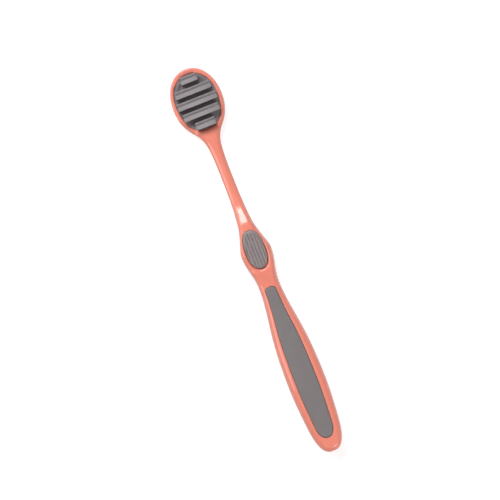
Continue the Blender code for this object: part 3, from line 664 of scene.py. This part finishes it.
def elastomer(name, shade, roughness, grain):
    """Soft moulded grey rubber with a fine grain, faint mottling and a dusty sheen."""
    made = bpy.data.materials.new(name)
    made.use_nodes = True
    tree = made.node_tree
    shader = tree.nodes["Principled BSDF"]
    spot = node(tree, "ShaderNodeTexCoord").outputs["Object"]
    cloud = node(tree, "ShaderNodeTexNoise", {"Vector": spot, "Scale": 260.0, "Detail": 5.0})
    dark = tuple(channel * MOTTLE_DARK for channel in shade) + (1,)
    light = tuple(channel * MOTTLE_LIGHT for channel in shade) + (1,)
    tint = node(tree, "ShaderNodeMix", {0: cloud.outputs[0], 6: dark, 7: light}, data_type="RGBA")
    tree.links.new(tint.outputs[2], shader.inputs["Base Color"])
    rubbed = node(tree, "ShaderNodeMapRange", {
        "Value": cloud.outputs[0], "From Min": 0.3, "From Max": 0.7,
        "To Min": roughness - RUBBED_SPREAD, "To Max": roughness + RUBBED_SPREAD,
    })
    tree.links.new(rubbed.outputs[0], shader.inputs["Roughness"])
    pores = node(tree, "ShaderNodeTexNoise", {"Vector": spot, "Scale": 5200.0, "Detail": 2.0})
    bump = node(
        tree, "ShaderNodeBump", {"Height": pores.outputs[0], "Strength": grain, "Distance": 0.0001}
    )
    tree.links.new(bump.outputs[0], shader.inputs["Normal"])
    shader.inputs["Specular IOR Level"].default_value = 0.2
    shader.inputs["Sheen Weight"].default_value = 0.05
    shader.inputs["Sheen Roughness"].default_value = 0.4
    return made


pad_rubber = elastomer(
    "satin_grey_elastomer", shade=(0.25, 0.225, 0.235), roughness=0.42, grain=0.15
)
# One bar has its ends at -1 and 1, so that half its length is what it is scaled by.
profile = [(0.0, BAR_ROOT)]
for step in range(BAR_PROFILE_POINTS):
    across_bar = step * BAR_PROFILE_STEP
    profile.append((across_bar, curve(BAR_PROFILE_KNOTS, across_bar)))
profile += [*BAR_SCRAPING_EDGE, (BAR_WIDTH, BAR_ROOT)]
bm = bmesh.new()
ends = []
for side in (-1.0, 1.0):
    corners = [(side, (BAR_WIDTH / 2 - u) * MM, (PAD_TOP + v) * MM) for u, v in profile]
    ends.append([bm.verts.new(corner) for corner in corners])
bm.faces.new(ends[0])
bm.faces.new(ends[1])
for index in range(len(profile)):
    after = (index + 1) % len(profile)
    bm.faces.new((ends[0][index], ends[0][after], ends[1][after], ends[1][index]))
bmesh.ops.recalc_face_normals(bm, faces=bm.faces)
bar_mesh = bpy.data.meshes.new("scraper_bars")
bm.to_mesh(bar_mesh)
bm.free()

bars = Recipe("scraper_bars", {
    "Count": BAR_COUNT, "Pitch": BAR_PITCH * MM, "Middle": BAR_MIDDLE * MM,
    "Bar width": BAR_WIDTH * MM, "Reach": BAR_REACH, "End gap": BAR_END_GAP * MM,
    "Tray start": TRAY_START * MM, "Tray widest": TRAY_WIDEST * MM,
    "Tray end": TRAY_END * MM, "Tray width": TRAY_WIDTH * MM,
    "Upper fullness": TRAY_FULLNESS_ABOVE, "Lower fullness": TRAY_FULLNESS_BELOW,
    "Tip": LENGTH / 2 * MM,
})
line = bars.node("GeometryNodeMeshLine", {"Count": bars.size("Count"), "Offset": (0, 0, 0)})
number = Value(bars, bars.node("GeometryNodeInputIndex").outputs[0])
middle = bars.size("Middle") + bars.size("Pitch") * (number - (bars.size("Count") - 1) / 2)


def room_at(distance):
    """Half width of the tray at a distance from the tip."""
    widest = bars.size("Tray widest")
    above = bars.within((widest - distance) / (widest - bars.size("Tray start")))
    below = bars.within((distance - widest) / (bars.size("Tray end") - widest))
    high, low = bars.size("Upper fullness"), bars.size("Lower fullness")
    above_share = (1 - above**high) ** bars.math("DIVIDE", 1.0, high)
    below_share = (1 - below**low) ** bars.math("DIVIDE", 1.0, low)
    return bars.size("Tray width") / 2 * above_share * below_share


tip_side = room_at(middle - bars.size("Bar width") / 2)
far_side = room_at(middle + bars.size("Bar width") / 2)
length = bars.math("MINIMUM", tip_side, far_side) * bars.size("Reach") - bars.size("End gap")
spots = bars.node("GeometryNodeSetPosition", {
    "Geometry": line.outputs[0], "Position": bars.vector(0.0, bars.size("Tip") - middle, 0.0),
})
set_out = bars.node("GeometryNodeInstanceOnPoints", {
    "Points": spots.outputs[0], "Instance": bars.given, "Scale": bars.vector(length, 1.0, 1.0),
})
five_bars = bars.grown("scraper_bars", bar_mesh, set_out.outputs[0], pad_rubber)

# The plate's raised margin falls to its flat middle.
plate_edge = moved_in(tray, lambda d: LIP_INSIDE_SHARE * curve(TRAY_LIP_KNOTS, d) + WALL_GAP)
plate_rows = [(plate_edge, lambda x, d: PAD_BOTTOM)]
for inset in PAD_MARGIN_INSETS:
    side = moved_in(plate_edge, lambda d, inset=inset: inset)
    rise = curve(PAD_MARGIN_KNOTS, inset)
    plate_rows.append(
        (side, lambda x, d, rise=rise: PAD_TOP + rise * curve(PAD_MARGIN_SHARE_KNOTS, d))
    )
pad = shown_object("scraper_pad_moulding", shell("scraper_pad_moulding", plate_rows, across=1))
pad.data.materials.append(pad_rubber)
joined(pad, five_bars, "UNION")
bevel = pad.modifiers.new("moulded_edges", "BEVEL")
bevel.width, bevel.segments = PAD_BEVEL * MM, 2
bevel.limit_method, bevel.angle_limit = "ANGLE", SHARP_ANGLE
settled(pad)
smooth(pad)
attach(pad, "root")
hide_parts("scraper_pad")

# Thumb pad: a soft grey egg-shaped inset, moulded into the thumb rest and dished
# a little. Seven fine ribs run along it for grip inside a plain border, and its
# lower end curves down behind the coral lip.
THUMB_SINK_KNOTS = (
    (76.2, 0.15, 0.02), (80.5, 0.6, 0.07), (86.5, 0.75, 0), (THUMB_LIP_AT, 0.65, 0),
)
THUMB_EDGE_ROUND_KNOTS = ((76.2, 0.25, 0), (94.7, 0.9, 0))
THUMB_INSIDE_SHARE, FLOOR_GAP = 0.65, 0.05
SOFT_EDGE_TURNS = (0, 18, 36, 54, 72, 90)
RIB_PITCH, RIB_HEIGHT, RIB_BORDER = 1.38, 0.75, 0.6
RIB_END_STEEPNESS, RIB_FACING_UP = 5.0, 0.3

thumb_rubber = elastomer(
    "matte_grey_thumb_elastomer", shade=(0.33, 0.28, 0.285), roughness=0.55, grain=0.3
)


def soft_top(edge, bottom, top, edge_round):
    """Rows of a soft insert: its wall and the rounding of its top edge."""
    rows = [(edge, bottom)]
    for turn in SOFT_EDGE_TURNS:
        draw, drop = 1 - cos(radians(turn)), 1 - sin(radians(turn))
        side = moved_in(edge, lambda d, draw=draw: edge_round(d) * draw)
        rows.append((side, lambda x, d, drop=drop: top(x, d) - edge_round(d) * drop))
    return rows


def thumb_top(x, distance):
    """Height of the thumb pad's top before its ribs, dished below the body's front."""
    return surface(x, distance) - curve(THUMB_SINK_KNOTS, distance)


thumb_edge = moved_in(thumb_outline, lambda d: THUMB_INSIDE_SHARE * curve(THUMB_LIP_KNOTS, d))
thumb_rows = soft_top(
    thumb_edge, lambda x, d: curve(FRONT_KNOTS, d) - THUMB_POCKET_DEPTH + FLOOR_GAP, thumb_top,
    lambda d: curve(THUMB_EDGE_ROUND_KNOTS, d),
)

# The ribs rise only where the pad faces up, and fade out towards its border.
ribs = Recipe("thumb_ribs", {
    "Pitch": RIB_PITCH * MM, "Height": RIB_HEIGHT * MM, "Border": RIB_BORDER * MM,
    "Pad start": THUMB_PAD_START * MM, "Pad widest": THUMB_PAD_WIDEST * MM,
    "Pad end": THUMB_PAD_END * MM, "Pad width": THUMB_PAD_WIDTH * MM,
    "Fullness": THUMB_FULLNESS_ABOVE, "Tip": LENGTH / 2 * MM,
})
x, y = ribs.parts(ribs.node("GeometryNodeInputPosition").outputs[0])[:2]
distance = ribs.size("Tip") - y
border, widest = ribs.size("Border"), ribs.size("Pad widest")
above = ribs.math("MAXIMUM", widest - distance, 0.0) / (widest - ribs.size("Pad start") - border)
below = ribs.math("MAXIMUM", distance - widest, 0.0) / (ribs.size("Pad end") - widest - border)
beside = ribs.math("ABSOLUTE", x) / (ribs.size("Pad width") / 2 - border)
fullness = ribs.size("Fullness")
reach = (above + below) ** fullness + beside**fullness
fade = ribs.within((1 - reach) * RIB_END_STEEPNESS)
ridge = ribs.math("ABSOLUTE", ribs.math("COSINE", x / ribs.size("Pitch") * pi))
facing = ribs.parts(ribs.node("GeometryNodeInputNormal").outputs[0])[2]
on_top = ribs.math("GREATER_THAN", facing, RIB_FACING_UP)
lift = ribs.vector(0.0, 0.0, ridge * fade * on_top * ribs.size("Height"))
ribbed = ribs.node("GeometryNodeSetPosition", {"Geometry": ribs.given, "Offset": lift})
thumb_mesh = shell("thumb_pad_moulding", thumb_rows, across=120)
thumb = ribs.grown("thumb_pad_moulding", thumb_mesh, ribbed.outputs[0], thumb_rubber)
smooth(thumb)
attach(thumb, "root")
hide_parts("thumb_pad")

# Handle grip: a long plain inlay of matte grey elastomer, moulded into the
# handle a hair proud of the coral, with a soft rounded edge all round.
GRIP_PROUD = 0.3
GRIP_EDGE_ROUND = 0.7

grip_rubber = elastomer(
    "matte_grey_grip_elastomer", shade=(0.21, 0.19, 0.193), roughness=0.56, grain=0.3
)
grip_edge = moved_in(
    grip_outline, lambda d: LIP_INSIDE_SHARE * curve(GRIP_LIP_KNOTS, d) + WALL_GAP
)
grip_rows = soft_top(
    grip_edge, lambda x, d: curve(FRONT_KNOTS, d) - GRIP_POCKET_DEPTH + FLOOR_GAP,
    lambda x, d: surface(x, d) + GRIP_PROUD, lambda d: GRIP_EDGE_ROUND,
)
grip = shown_object("handle_grip_moulding", shell("handle_grip_moulding", grip_rows, across=24))
grip.data.materials.append(grip_rubber)
smooth(grip)
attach(grip, "root")
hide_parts("handle_grip")
